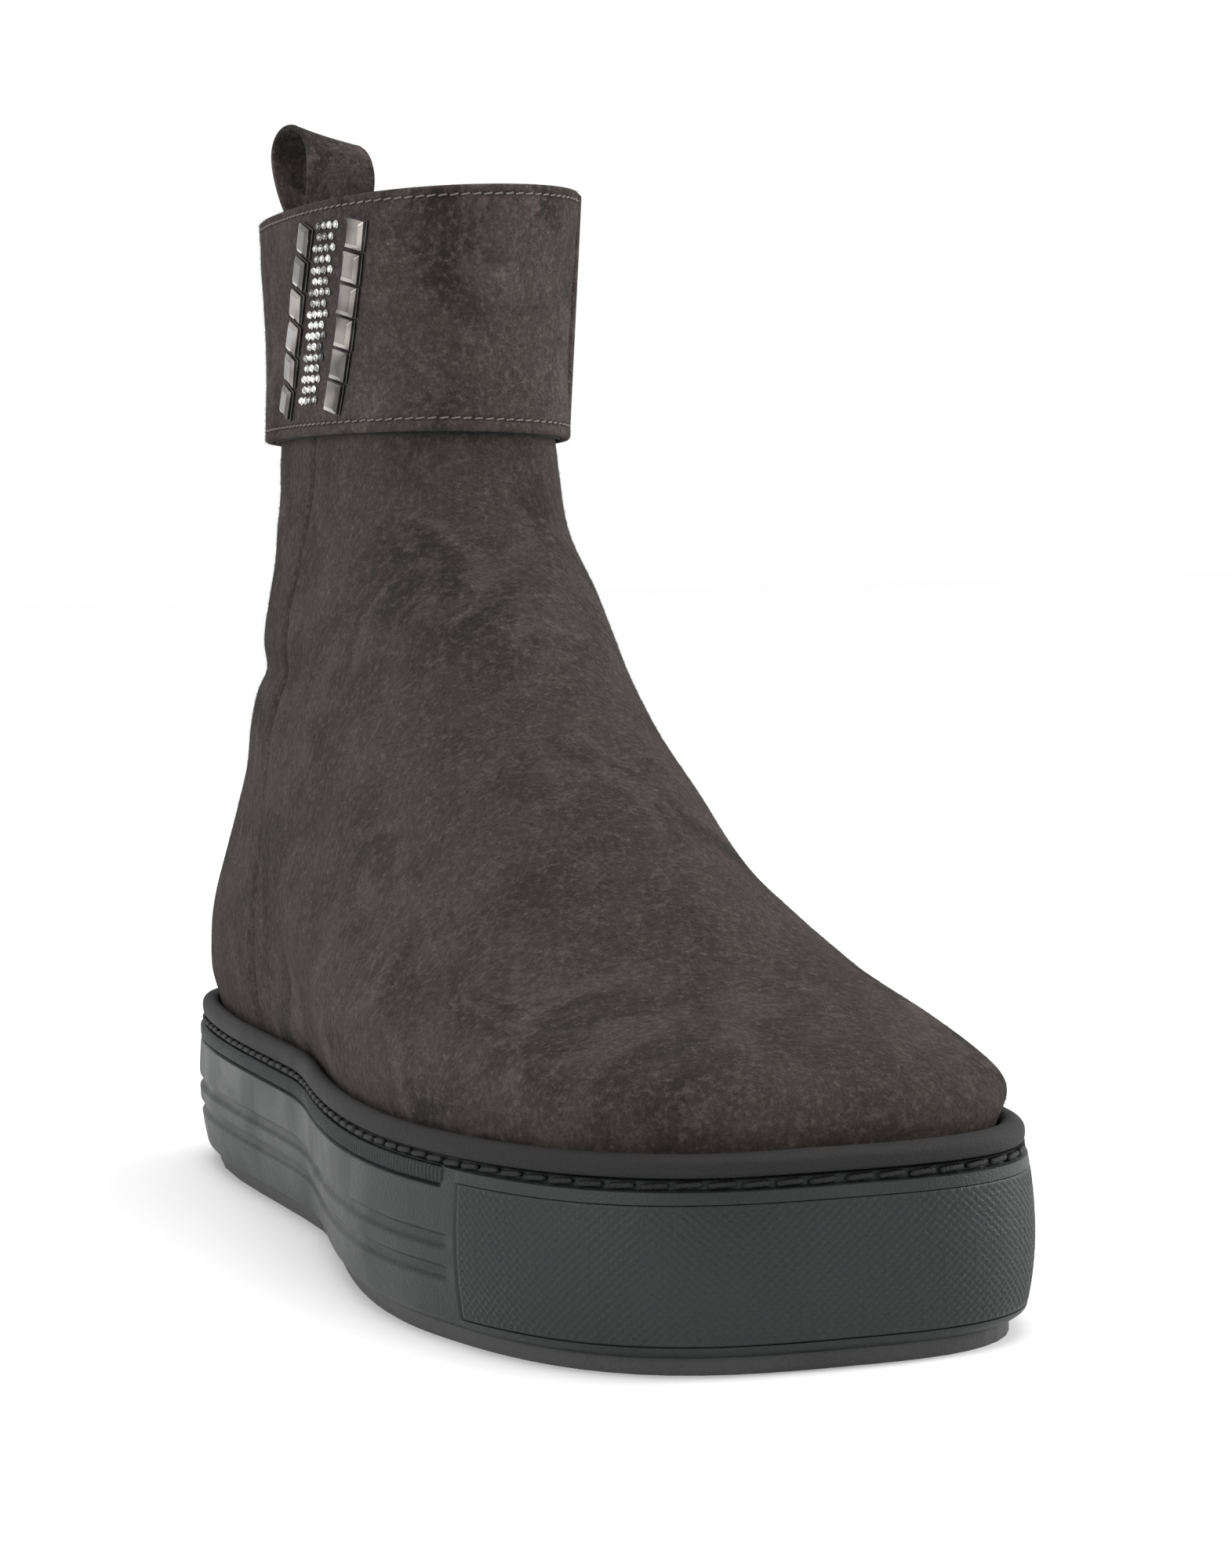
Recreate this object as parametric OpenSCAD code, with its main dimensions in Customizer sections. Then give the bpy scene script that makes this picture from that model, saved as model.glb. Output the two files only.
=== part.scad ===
// Platform ankle boot, right foot: rubber cup sole, soft upper, wide cuff with stones, pull loop.
// Frame: +Z up from the ground, toe towards -Y, medial side towards +X, millimetres.

/* [Sole] */
// Length of the sole, heel to toe
sole_len = 280; // [260:1:300]
// Height of the sole wall, ground to the top of the cup
wall_h = 32; // [28:1:38]
// Thickness of the outsole tread
tread_h = 3; // [2:0.5:5]
// Half width of the sole at the ball on the outer side
ball_out = 53.5; // [50:0.5:57]
// Half width of the sole at the ball on the inner side
ball_in = 47.5; // [44:0.5:51]
// Half width of the sole at the heel
heel_half = 39; // [36:0.5:42]
// How far the toe swings towards the inner side
toe_swing = 16.7; // [10:0.5:20]
// How far the side wall bulges at mid height
bulge = 2.5; // [1:0.1:4]
// Pitch of the welt stitches
stitch_pitch = 5.6; // [4.5:0.1:8]
// Pitch of the fine ribs under the welt
rib_pitch = 1.3; // [1.2:0.1:3]

/* [Upper] */
// Height of the shaft's top edge above the ground
shaft_top = 197; // [190:1:204]
// Thickness of the suede panels
suede_t = 1.4; // [1:0.1:1.6]
// Where the outer side seam stands behind the middle of the sole
seam_back = 62; // [55:1:68]
// Overlap of the front panel on the back panel at that seam
seam_lap = 7; // [5:0.5:10]

/* [Cuff] */
// Height of the cuff's lower edge
cuff_low = 153.3; // [150:0.1:158]
// Height of the cuff's upper edge
cuff_high = 201.5; // [199:0.1:204]
// How far the cuff's face stands off the shaft
cuff_proud = 3; // [2.8:0.1:3.4]
// Width of the pull loop's strap
loop_w = 17; // [16:1:22]
// Height of the pull loop above the top line
loop_h = 22.7; // [18:0.5:26]

/* [Zip] */
// Height of the lower end of the zip
zip_low = 88; // [86:1:100]
// Height of the upper end of the zip
zip_high = 151; // [140:1:151]
// Length of the zip puller
pull_len = 26; // [18:1:30]

/* [Hidden] */
$fn = 48;
cx = 7.25;
hl = sole_len / 2;
tc = 68;
base_in = 7;
z_rim = 34.5;
up_bot = wall_h + 0.2;
gap = 0.2;
hid_out = -suede_t - gap;
hid_in = hid_out - 0.9;
lin_out = hid_in - gap;
lin_in = lin_out - 0.8;
panel_t = 98.5;
pat_d = 0.45;
zip_y = 94;
zip_x = 30;
zip_turn = 9;
bead_a = 60;
flap_a = 140;
bead_r = 1.35;
// Front and back reach of the upper at each height, forwards positive
reach_f = [[34.5, 132], [40, 132], [48, 126.5], [58, 98], [70, 78], [84, 57], [100, 30.5], [118, 6.5],
  [136, -20], [152, -27.5], [204, -28]];
reach_b = [[34.5, -134], [60, -138], [90, -129], [120, -124], [152, -121.5], [204, -126]];
// Half widths of the upper at each height, outer side and inner side
half_o = [[34.5, 40.5], [41, 42.5], [50, 42.5], [70, 38.2], [95, 32.6], [120, 28], [152, 24], [204, 23.4]];
half_i = [[34.5, 54.5], [41, 57], [50, 50.5], [70, 38.3], [95, 32.6], [120, 28.3], [152, 26.5], [204, 31.2]];

function sm(x) = x <= 0 ? 0 : x >= 1 ? 1 : x * x * (3 - 2 * x);
function warp(u) = u + 14.3 * sin(2 * u);
function radial(a, p) = pow(pow(abs(cos(a)), p) + pow(abs(sin(a)), p), -1 / p);
// Smooth curve through a table of [height, value] pairs
function seg(tab, z, i = 0) = i >= len(tab) - 2 || z < tab[i + 1][0] ? i : seg(tab, z, i + 1);
function rate(tab, i) = (tab[i + 1][1] - tab[i][1]) / (tab[i + 1][0] - tab[i][0]);
function mid_rate(tab, i) =
  let (h0 = tab[i][0] - tab[i - 1][0], h1 = tab[i + 1][0] - tab[i][0])
  (h0 * rate(tab, i) + h1 * rate(tab, i - 1)) / (h0 + h1);
function slope(tab, i) = i == 0 ? rate(tab, 0) : i == len(tab) - 1 ? rate(tab, i - 1) : mid_rate(tab, i);
function curve(tab, z) =
  let (i = seg(tab, z), h = tab[i + 1][0] - tab[i][0], u = (z - tab[i][0]) / h, v = 1 - u)
  tab[i][1] * (1 + 2 * u) * v * v + tab[i + 1][1] * u * u * (3 - 2 * u)
  + slope(tab, i) * h * u * v * v - slope(tab, i + 1) * h * u * u * v;

// Sole outline, angle 0 at the toe, 90 on the inner side, 180 at the heel
function half_w(t, s, z) =
  let (wst = s > 0 ? 27 : 35 + 3.5 * z / 35, ball = s > 0 ? ball_in : ball_out)
  t < -25 ? heel_half + (wst - heel_half) * sm((t + 123) / 98) : wst + (ball - wst) * sm((t + 25) / 107);
function outl(i, a, z = 32) =
  let (p = cos(a) > 0 ? 3 : 5.4, r = radial(a, p), nt = cos(a) * r, nx = sin(a) * r)
  let (t = tc * hl / 140 + (nt > 0 ? hl - i - tc * hl / 140 : hl - i + tc * hl / 140) * nt)
  let (w = half_w(t * 140 / hl, nx, z) - i)
  [w * nx + toe_swing * sm(t / hl) - cx, -t];
function plan(i, n, z = 32) = [for (k = [0:n - 1]) outl(i, warp(360 * k / n), z)];
// How far the side wall stands in at each height
function wall_in(z) = let (u = 2 * z / 34.7 - 1) bulge * u * u * (u > 0 ? 0.7 : 1);

// Upper surface
base_out = min([for (k = [180:3:360]) outl(base_in, k)[0] + cx]);
base_inn = max([for (k = [0:3:180]) outl(base_in, k)[0] + cx]);
function up(a, z) =
  let (b = outl(base_in, a), m = sm((z - z_rim) / 70.5), r = radial(a, 2.3), bx = b[0] + cx)
  let (nx = (1 - m) * bx / (bx < 0 ? -base_out : base_inn) + m * sin(a) * r)
  let (nt = (1 - m) * -b[1] / (hl - base_in) + m * cos(a) * r)
  let (f = curve(reach_f, z) * hl / 140, k = curve(reach_b, z) * hl / 140)
  let (w = nx < 0 ? curve(half_o, z) : curve(half_i, z))
  [nx * w + 5.3 * sm((z - z_rim) / 115.5) - cx, -((f + k) / 2 + nt * (f - k) / 2), z];
function outward(a, z) =
  let (u = up(a + 1, z) - up(a - 1, z), v = up(a, z + 0.5) - up(a, z - 0.5), n = cross(u, v))
  n / norm(n);
function skin(a, z, d) = up(a, z) + d * outward(a, z);
function along(a, z) = let (u = up(a + 1, z) - up(a - 1, z)) u / norm(u);
// Angle where the upper crosses a given distance behind the middle, between two angles
function find_a(y, z, lo, hi, n = 14) =
  n == 0 ? (lo + hi) / 2 :
  let (m = (lo + hi) / 2) (up(m, z)[1] < y) == (up(lo, z)[1] < y) ? find_a(y, z, m, hi, n - 1)
  : find_a(y, z, lo, m, n - 1);
function outer_a(y, z) = find_a(y, z, 185, 350);
function inner_a(y, z) = find_a(y, z, 10, 175);
// Edges of the cuff, a little higher at the front and taller on the inner side
function cuff_z(a, f) = let (lo = cuff_low + 0.5 * cos(a) - sin(a), hi = cuff_high + cos(a) + 0.9 * sin(a))
  lo + (hi - lo) * f;

// Faces of a closed wall made from an outer and an inner grid of points
function quad(a, b, c, d) = [[a, b, c], [a, c, d]];
module wall(o, i, ring) {
  m = len(o);
  n = len(o[0]);
  h = m * n;
  last = ring ? n - 1 : n - 2;
  pts = [for (g = [o, i]) for (row = g) for (p = row) p];
  skins = [for (j = [0:m - 2]) for (k = [0:last]) let (q = (k + 1) % n, a = j * n)
    for (t = concat(quad(a + k, a + n + k, a + n + q, a + q),
      quad(h + a + k, h + a + q, h + a + n + q, h + a + n + k))) t];
  top = (m - 1) * n;
  rims = [for (k = [0:last]) let (q = (k + 1) % n)
    for (t = concat(quad(k, q, h + q, h + k), quad(top + q, top + k, h + top + k, h + top + q))) t];
  ends = ring ? [] : [for (j = [0:m - 2]) let (a = j * n, b = a + n, c = a + n - 1, d = b + n - 1)
    for (t = concat(quad(b, a, h + a, h + b), quad(c, d, h + d, h + c))) t];
  polyhedron(pts, concat(skins, rims, ends));
}
// Solid made from a stack of closed rings
module stack(rings) {
  m = len(rings);
  n = len(rings[0]);
  pts = [for (r = rings) for (p = r) p];
  sides = [for (j = [0:m - 2]) for (k = [0:n - 1]) let (q = (k + 1) % n, a = j * n)
    for (t = quad(a + k, a + n + k, a + n + q, a + q)) t];
  polyhedron(pts, concat(sides, [[for (k = [0:n - 1]) k]], [[for (k = [n - 1:-1:0]) (m - 1) * n + k]]));
}
// Part of the upper between two edges, from offset d0 outside to d1 inside
function levels(z0, z1, n) = [for (j = [0:n]) z0 + (z1 - z0) * pow(j / n, 1.25)];
module ring_wall(z0, z1, n, na, d0, d1) {
  zs = levels(z0, z1, n);
  wall([for (z = zs) [for (k = [0:na - 1]) skin(warp(360 * k / na), z, d0)]],
    [for (z = zs) [for (k = [0:na - 1]) skin(warp(360 * k / na), z, d1)]], true);
}
module cuff_wall(a0, a1, na, d0, d1, f0 = 0, f1 = 1) {
  fs = [f0, (2 * f0 + f1) / 3, (f0 + 2 * f1) / 3, f1];
  as = [for (k = [0:na]) a0 + (a1 - a0) * k / na];
  wall([for (f = fs) [for (a = as) skin(a, cuff_z(a, f), d0)]],
    [for (f = fs) [for (a = as) skin(a, cuff_z(a, f), d1)]], false);
}
// Stand a child on the upper: x along the surface, y up it, z outwards
module on_skin(a, z, d, lean = 0) {
  p = skin(a, z, d);
  n = outward(a, z);
  u = along(a, z);
  v = cross(n, u);
  multmatrix([[u[0], v[0], n[0], p[0]], [u[1], v[1], n[1], p[1]], [u[2], v[2], n[2], p[2]], [0, 0, 0, 1]])
    rotate([0, 0, lean]) children();
}
// Angles spaced evenly along the sole outline
turn = [for (k = [0:360]) warp(k)];
dist = [for (k = [0:359]) norm(outl(1, turn[k + 1], 31) - outl(1, turn[k], 31))];
function sums(v, i = 0, s = 0, out = []) = i > len(v) ? out : sums(v, i + 1, s + (i < len(v) ? v[i] : 0), concat(out, [s]));
run = sums(dist);
by_run = [for (k = [0:360]) [run[k], turn[k]]];
function at_run(s) = lookup(s, by_run);

module outsole_tread() {
  color([0.2, 0.21, 0.2])
    difference() {
      linear_extrude(height = tread_h) polygon(plan(4.2, 96, 3));
      intersection() {
        translate([0, 0, -1]) linear_extrude(height = 2.4) polygon(plan(9, 96, 3));
        union() {
          for (y = [-112:16:-32]) translate([-60, y, -1]) cube([120, 3, 2.4]);
          for (y = [40:16:120]) translate([-60, y, -1]) cube([120, 3, 2.4]);
          translate([-6, -120, -1]) cube([3, 90, 2.4]);
        }
      }
    }
}
// Angle test for the raised toe panel
function in_toe(a) = -outl(1, a, 17)[1] > panel_t - 1.2;
function groove(z) = (z > 16.6 && z < 19) || (z > 11.2 && z < 13.6) ? 0.9 : 0;
function cup_in(a, z) = wall_in(z) + 0.35 + (in_toe(a) ? (z > 4.5 && z < 29 ? 0.75 : 0) : groove(z))
  + (z > 30.2 && z < 31.9 ? 1.2 : 0) + (!in_toe(a) && z > 26.6 && z < 30.3 ? 1.3 : 0);
cup_z = [tread_h + 0.05, 4.2, 6, 11, 11.6, 13.2, 13.8, 16.4, 17, 18.6, 19.2, 24, 26.5, 26.7, 30.1, 30.4, 31.7, wall_h];
module sole_cup() {
  color([0.24, 0.25, 0.24])
    stack(concat(
      [for (z = cup_z) [for (k = [0:95]) let (a = warp(360 * k / 96))
        concat(outl(cup_in(a, z) + (z < 4 ? 1.2 : 0), a, z), z)]],
      [for (z = [wall_h, 6]) [for (k = [0:95]) concat(outl(7.4, warp(360 * k / 96), 20), z)]]));
}
lip_prof = [[1.1, 32.1], [0.7, 33.3], [1, 34.7], [2.1, 35.8]];
module rim_lip() {
  color([0.26, 0.27, 0.26])
    wall([for (q = lip_prof) [for (k = [0:95]) concat(outl(q[0] + 0.3, warp(360 * k / 96), 32), q[1])]],
      [for (q = lip_prof) [for (k = [0:95]) let (p = skin(warp(360 * k / 96), q[1], gap)) [p[0], p[1], q[1]]]],
      true);
}
module welt_stitching() {
  color([0.05, 0.05, 0.05])
    for (s = [1:stitch_pitch:run[360] - 2])
      let (p = outl(1.6, at_run(s), 31), q = outl(1.6, at_run(s + 1), 31))
      translate([p[0], p[1], 31.1]) rotate([0, 90, atan2(q[1] - p[1], q[0] - p[0])])
      cylinder(r = 0.55, h = 4, center = true, $fn = 16);
}
// Run of the ribs, round the heel and along both sides
rib_0 = [for (k = [0:360]) if (-outl(1, turn[k], 27)[1] < panel_t - 4) run[k]][0];
rib_1 = max([for (k = [0:360]) if (-outl(1, turn[k], 27)[1] < panel_t - 4) run[k]]);
module side_ribs() {
  n = floor((rib_1 - rib_0) / rib_pitch);
  color([0.22, 0.23, 0.22])
    translate([0, 0, 27]) linear_extrude(height = 3)
    polygon(concat([for (k = [0:2 * n]) outl(k % 2 == 0 ? 1.5 : 0.9, at_run(rib_0 + k * rib_pitch / 2), 27)],
      [for (k = [n / 2:-1:0]) outl(2.3, at_run(rib_0 + k * 2 * rib_pitch), 27)]));
}
module toe_panel() {
  as = [for (k = [0:40]) let (a = warp(-88 + k * 4.4)) if (-outl(1, a, 17)[1] > panel_t) a];
  zs = [5.2, 8, 13, 18, 23, 26.5, 28];
  color([0.25, 0.26, 0.25])
    wall([for (z = zs) [for (a = as) concat(outl(wall_in(z) + (z < 6 || z > 27 ? 0.35 : 0), a, z), z)]],
      [for (z = zs) [for (a = as) concat(outl(wall_in(z) + 0.95, a, z), z)]], false);
}
module foam_core() {
  color([0.75, 0.74, 0.7])
    difference() {
      translate([0, 0, 6.2]) linear_extrude(height = 23) polygon(plan(7.9, 72, 20));
      translate([-8.5 - cx, -32, 27.8]) cube([17, 112, 4]);
    }
}
module shank() {
  color([0.6, 0.6, 0.62])
    translate([-cx, 0, 27.9]) linear_extrude(height = 1.2)
    difference() {
      hull() for (y = [-23.5, 71.5]) translate([0, y]) circle(r = 7.5);
      for (y = [-22, 70]) translate([0, y]) circle(r = 2);
    }
}
module insole_board() {
  color([0.62, 0.5, 0.38])
    translate([0, 0, 29.4]) linear_extrude(height = 2) polygon(plan(8.2, 72, 30));
}
module footbed() {
  color([0.16, 0.16, 0.17])
    translate([0, 0, 33]) linear_extrude(height = 5) polygon(plan(12.2, 72, 30));
}
module vamp() {
  zs = levels(up_bot, shaft_top, 19);
  n = 44;
  rows = [for (z = zs) let (a0 = outer_a(seam_back, z) - 360, a1 = inner_a(zip_y - 4, z))
    [for (k = [0:n]) a0 + (a1 - a0) * k / n]];
  color([0.35, 0.32, 0.31])
    wall([for (j = [0:19]) [for (a = rows[j]) skin(a, zs[j], 0)]],
      [for (j = [0:19]) [for (a = rows[j]) skin(a, zs[j], -suede_t)]], false);
}
// The back panel steps in under the front panel's edge
function under(y) = sm((seam_back + 4 - y) / 4);
module quarter() {
  zs = levels(up_bot, shaft_top, 17);
  n = 30;
  rows = [for (z = zs) let (a0 = inner_a(zip_y + 4, z), a1 = outer_a(seam_back - seam_lap, z))
    [for (k = [0:n]) let (u = k / n) a0 + (a1 - a0) * (1 - pow(1 - u, 1.35))]];
  color([0.33, 0.3, 0.29])
    wall([for (j = [0:17]) [for (a = rows[j]) let (s = a > 180 ? under(up(a, zs[j])[1]) : 0)
        skin(a, zs[j], s * hid_out)]],
      [for (j = [0:17]) [for (a = rows[j]) let (s = a > 180 ? under(up(a, zs[j])[1]) : 0)
        skin(a, zs[j], s * hid_in - (1 - s) * suede_t)]], false);
}
module heel_counter() {
  zs = levels(up_bot, 78, 6);
  as = [for (z = zs) [for (k = [0:18]) let (a0 = inner_a(zip_y + 6, z), a1 = outer_a(zip_y - 8, z))
    a0 + (a1 - a0) * k / 18]];
  color([0.5, 0.48, 0.45])
    wall([for (j = [0:6]) [for (a = as[j]) skin(a, zs[j], hid_out)]],
      [for (j = [0:6]) [for (a = as[j]) skin(a, zs[j], hid_in)]], false);
}
module toe_puff() {
  zs = levels(up_bot, 58, 5);
  as = [for (k = [0:24]) -72 + k * 6];
  color([0.5, 0.48, 0.45])
    wall([for (z = zs) [for (a = as) skin(a, z, hid_out)]], [for (z = zs) [for (a = as) skin(a, z, hid_in)]], false);
}
module lining() {
  color([0.14, 0.13, 0.13])
    ring_wall(up_bot, shaft_top, 16, 56, lin_out, lin_in);
}
module topline_binding() {
  as = [for (k = [0:44]) -196 + 300 * k / 44];
  color([0.2, 0.18, 0.17])
    wall([for (f = [0, 1]) [for (a = as) skin(a, shaft_top + 0.2 + f * 3.2, -0.1)]],
      [for (f = [0, 1]) [for (a = as) skin(a, shaft_top + 0.2 + f * 3.2, -1.2)]], false);
}
cuff_a0 = 143 - 360;
cuff_a1 = bead_a - 4.4;
module cuff_band() {
  color([0.34, 0.31, 0.3]) cuff_wall(cuff_a0, cuff_a1, 52, cuff_proud, 1.4);
}
module cuff_pad() {
  color([0.4, 0.38, 0.36]) cuff_wall(cuff_a0 + 1.5, cuff_a1 - 1.5, 52, 1.3, 0.15, 0.04, 0.9);
}
module stitch_row(a0, a1, f) {
  n = floor((a1 - a0) / 4.4);
  for (k = [0:n]) let (a = a0 + (a1 - a0) * (k + 0.5) / (n + 1))
    on_skin(a, cuff_z(a, f), cuff_proud + 0.35) rotate([0, 90, 0])
    cylinder(r = 0.22, h = 2, center = true, $fn = 14);
}
module cuff_stitching() {
  color([0.2, 0.18, 0.17])
    for (f = [0.05, 0.965]) stitch_row(cuff_a0 + 2, cuff_a1 - 2, f);
}
// Pull loop: a drop-shaped strap that follows the collar at its foot and straightens towards its top
loop_a = 194;
loop_turn = 0.24;
function drop(t) = let (u = 9.5 * sin(t) * pow(sin(t / 2), 1.3))
  [abs(u) > 0.75 ? u : u < 0 ? -0.75 : 0.75, loop_h * (1 - cos(t)) / 2];
module pull_loop() {
  path = [for (t = [12:12:348]) drop(t)];
  m = len(path);
  dirs = [for (i = [0:m - 1]) let (a = path[max(i - 1, 0)], b = path[min(i + 1, m - 1)]) (b - a) / norm(b - a)];
  ws = [for (k = [0:8]) -loop_w / 2 + loop_w * k / 8];
  function lp(i, w, d) = let (p = path[i] + d * [dirs[i][1], -dirs[i][0]], s = 1 - 0.5 * sm(p[1] / loop_h))
    [w, p[0] - s * w * w / 36, p[1] + loop_turn * w * sm((p[1] - 6) / 12)];
  color([0.33, 0.3, 0.29])
    on_skin(loop_a, shaft_top + 0.3, -3.1)
    multmatrix([[1, 0, 0, 0], [0, 0, 1, 0], [0, 1, 0, 0], [0, 0, 0, 1]])
    wall([for (w = ws) [for (i = [0:m - 1]) lp(i, w, 0.6)]], [for (w = ws) [for (i = [0:m - 1]) lp(i, w, -0.6)]], false);
}
// Two leaning columns of flat stones, front and back: [y of the top stone, step back per stone, lean]
columns = [[39.9, 1.62, -14.2], [57.1, 2.59, -22]];
bar_w = 5;
bar_h = 5.9;
module stone_bars() {
  color([0.34, 0.33, 0.33])
    for (c = columns) for (k = [0:5])
      let (z = 193.7 - 6.4 * k, a = outer_a(c[0] + c[1] * k, z))
      on_skin(a, z, cuff_proud + 0.15, c[2]) {
        translate([-bar_w / 2, -bar_h / 2, 0]) cube([bar_w, bar_h, 1]);
        translate([0, 0, 1]) linear_extrude(height = 0.8, scale = 0.72) square([bar_w, bar_h], center = true);
      }
}
// Small round stones in a staggered lattice between the columns
module stone_dots() {
  color([0.8, 0.82, 0.84])
    for (r = [0:16]) for (c = [0:r % 2 == 0 ? 3 : 2])
      let (z = 196 - 2.15 * r, a = outer_a(45.4 + 2.1 * c + (r % 2 == 0 ? 0 : 1.05) + 0.65 * r, z))
      on_skin(a, z, cuff_proud + 0.15) cylinder(r1 = 0.85, r2 = 0.5, h = 0.8, $fn = 12);
}
module loop_patch() {
  color([0.1, 0.1, 0.1]) cuff_wall(121, 136, 5, 0.55, 0.1, 0.2, 0.85);
}
module flap_bead() {
  p = skin(bead_a, cuff_z(bead_a, 0), 1.65);
  q = skin(bead_a, cuff_z(bead_a, 1), 1.65);
  v = q - p;
  color([0.33, 0.3, 0.29])
    translate(p) rotate([0, acos(v[2] / norm(v)), atan2(v[1], v[0])]) cylinder(r = bead_r, h = norm(v));
}
module flap_outer() {
  color([0.34, 0.31, 0.3]) cuff_wall(bead_a + 2.1, flap_a, 14, cuff_proud, 1.75);
}
module flap_lining() {
  color([0.2, 0.18, 0.17]) cuff_wall(bead_a + 2.4, flap_a - 1, 14, 1.65, 1.15, 0.02, 0.98);
}
module flap_stitching() {
  color([0.2, 0.18, 0.17])
    for (f = [0.05, 0.965]) stitch_row(bead_a + 3, flap_a - 1, f);
}
module hook_patch() {
  color([0.1, 0.1, 0.1]) cuff_wall(121, 136, 5, 1.05, 0.85, 0.2, 0.85);
}
// Zip frame: x outwards, y backwards along the slot, z up
module zip_frame(z) {
  translate([zip_x - cx, zip_y, z]) rotate([0, 0, zip_turn]) children();
}
module zip_base_patch() {
  zs = [for (j = [0:8]) up_bot + (zip_low - 1 - up_bot) * j / 8];
  rows = [for (z = zs) let (a0 = inner_a(zip_y - 3.8, z), a1 = inner_a(zip_y + 3.8, z))
    [for (k = [0:2]) a0 + (a1 - a0) * k / 2]];
  color([0.34, 0.31, 0.3])
    wall([for (j = [0:8]) [for (a = rows[j]) skin(a, zs[j], 0)]],
      [for (j = [0:8]) [for (a = rows[j]) skin(a, zs[j], -suede_t)]], false);
}
module zip_tape_front() {
  color([0.12, 0.12, 0.12]) zip_frame(zip_low) translate([-1.3, -3.6, 0]) cube([0.55, 3.5, zip_high - zip_low]);
}
module zip_tape_back() {
  color([0.12, 0.12, 0.12]) zip_frame(zip_low) translate([-1.3, 0.1, 0]) cube([0.55, 3.5, zip_high - zip_low]);
}
module zip_teeth() {
  color([0.45, 0.44, 0.42])
    zip_frame(zip_low + 4)
    for (k = [0:floor((zip_high - zip_low - 6) / 1.25) - 1])
      translate([-0.7, k % 2 == 0 ? -2.3 : -0.5, k * 1.25]) cube([1.4, 2.8, 1.05]);
}
module zip_stop_low() {
  color([0.45, 0.44, 0.42]) zip_frame(zip_low + 1) translate([-0.7, -2.6, 0]) cube([1.5, 5.2, 2.6]);
}
module zip_stops_high() {
  color([0.45, 0.44, 0.42])
    zip_frame(zip_high - 1.7) for (y = [-2.6, 0.6]) translate([-0.7, y, 0]) cube([1.5, 2, 1.6]);
}
slide_z = zip_high - 14;
module zip_slider() {
  color([0.42, 0.41, 0.4])
    zip_frame(slide_z) {
      translate([1, -3.4, 0]) cube([1.1, 6.8, 11]);
      for (y = [-3.4, 2.7]) translate([-0.4, y, 0]) cube([1.5, 0.7, 11]);
      difference() {
        translate([2, -0.9, 4]) cube([3.2, 1.8, 5.4]);
        translate([3.6, 0, 6.6]) rotate([90, 0, 0]) cylinder(r = 0.95, h = 4, center = true);
      }
    }
}
module zip_puller() {
  color([0.42, 0.41, 0.4])
    zip_frame(slide_z + 6.6) translate([3.6, 0, 0]) {
      rotate([90, 0, 0]) cylinder(r = 0.6, h = 5, center = true);
      for (y = [-2.5, 1.3]) translate([-0.75, y, -5.4]) cube([1.5, 1.2, 6.1]);
      difference() {
        translate([-0.75, -3, -pull_len]) cube([1.5, 6, pull_len - 5.3]);
        translate([0, 0, -pull_len + 4]) rotate([0, 90, 0]) cylinder(r = 1.4, h = 4, center = true);
      }
    }
}

outsole_tread();
sole_cup();
rim_lip();
welt_stitching();
side_ribs();
toe_panel();
foam_core();
shank();
insole_board();
footbed();
vamp();
quarter();
heel_counter();
toe_puff();
lining();
topline_binding();
cuff_band();
cuff_pad();
cuff_stitching();
pull_loop();
stone_bars();
stone_dots();
loop_patch();
flap_bead();
flap_outer();
flap_lining();
flap_stitching();
hook_patch();
zip_base_patch();
zip_tape_front();
zip_tape_back();
zip_teeth();
zip_stop_low();
zip_stops_high();
zip_slider();
zip_puller();
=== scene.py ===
"""Platform ankle boot, right foot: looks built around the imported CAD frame.

Everything is worked out in millimetres in the part's own frame (toe towards -Y, inner side
towards +X) from the same formulas as the part, and turned into metres when a mesh is made.
"""

import math

import bpy
import numpy as np
from mathutils import Matrix, Vector


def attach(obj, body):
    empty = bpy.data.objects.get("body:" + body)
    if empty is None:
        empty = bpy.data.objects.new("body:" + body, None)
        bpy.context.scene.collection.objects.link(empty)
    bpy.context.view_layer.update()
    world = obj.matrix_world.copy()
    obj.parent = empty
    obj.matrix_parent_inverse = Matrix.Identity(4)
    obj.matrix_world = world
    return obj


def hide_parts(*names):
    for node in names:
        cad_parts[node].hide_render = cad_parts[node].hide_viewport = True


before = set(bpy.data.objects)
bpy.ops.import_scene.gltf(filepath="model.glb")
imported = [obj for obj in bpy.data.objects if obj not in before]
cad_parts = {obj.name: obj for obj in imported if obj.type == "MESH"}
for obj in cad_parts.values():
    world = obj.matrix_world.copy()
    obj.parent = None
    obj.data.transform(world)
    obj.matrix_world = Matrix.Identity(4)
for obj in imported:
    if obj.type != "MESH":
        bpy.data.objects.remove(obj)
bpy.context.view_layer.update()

MM = 0.001
BOOT, FLAP = "boot", "cuff_flap"

# Sole: CX moves the outline's own middle onto the frame's origin, t is a distance ahead of it
CX = 7.25
HALF_LEN = 140.0
TOE_CENTRE = 68.0
BALL_OUT, BALL_IN = 53.5, 47.5
HEEL_HALF = 39
TOE_SWING = 16.7
BULGE = 2.5
WALL_H = 32.0
CUP_FLOOR = 6.0
PANEL_T = 98.5  # the toe panel starts this far ahead
PANEL_LOW, PANEL_HIGH = 5.2, 28.0
GROOVES = ((16.7, 18.9), (11.3, 13.5))  # heights of the two grooves in the side wall
RIB_PITCH = 1.3
WELT_PITCH = 5.6

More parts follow.
